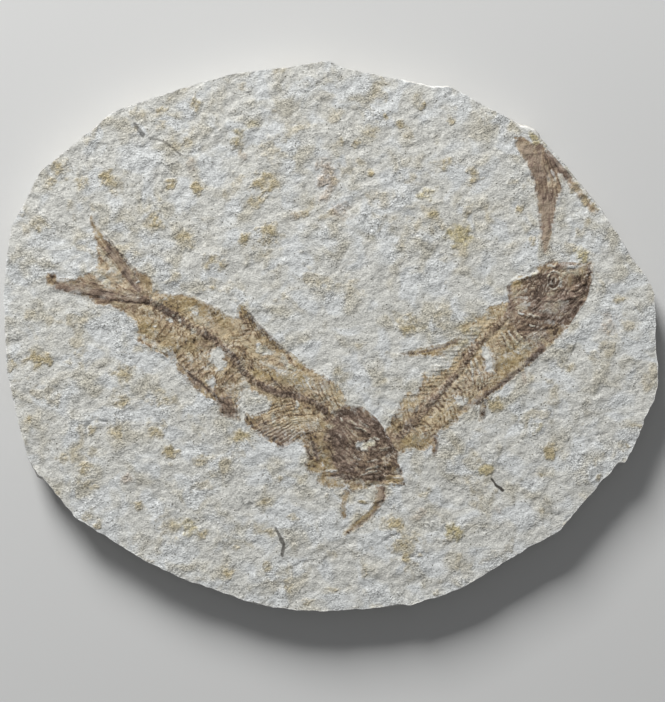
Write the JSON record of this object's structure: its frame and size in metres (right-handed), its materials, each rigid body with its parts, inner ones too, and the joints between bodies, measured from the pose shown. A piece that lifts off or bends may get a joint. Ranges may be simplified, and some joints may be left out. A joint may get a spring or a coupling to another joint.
{
  "type": "fossil fish slab",
  "caption": "Oval slab of split pale limestone with chipped sides, a flat back and flattened brown fossil fish on its face.",
  "frame": {"origin": "middle of the slab's underside, the centre of its bounding box at the height it rests on", "axes": "+X along the slab's longer width, to the right as one looks at the fossil face; +Y up the face; +Z out of the fossil face"},
  "size_m": [0.18, 0.1514, 0.0098],
  "materials": {
    "limestone": "rough split limestone, matt, with ochre stains",
    "brown_bone": "dark brown fossil bone, satin",
    "tan_bone": "tan fossil bone, satin",
    "pale_brown_bone": "pale brown fossil bone, satin"
  },
  "bodies": {
    "root": {"slab": "limestone", "left_fish": "brown_bone", "right_fish": "tan_bone", "third_fish_tail": "pale_brown_bone"}
  },
  "joints": []
}
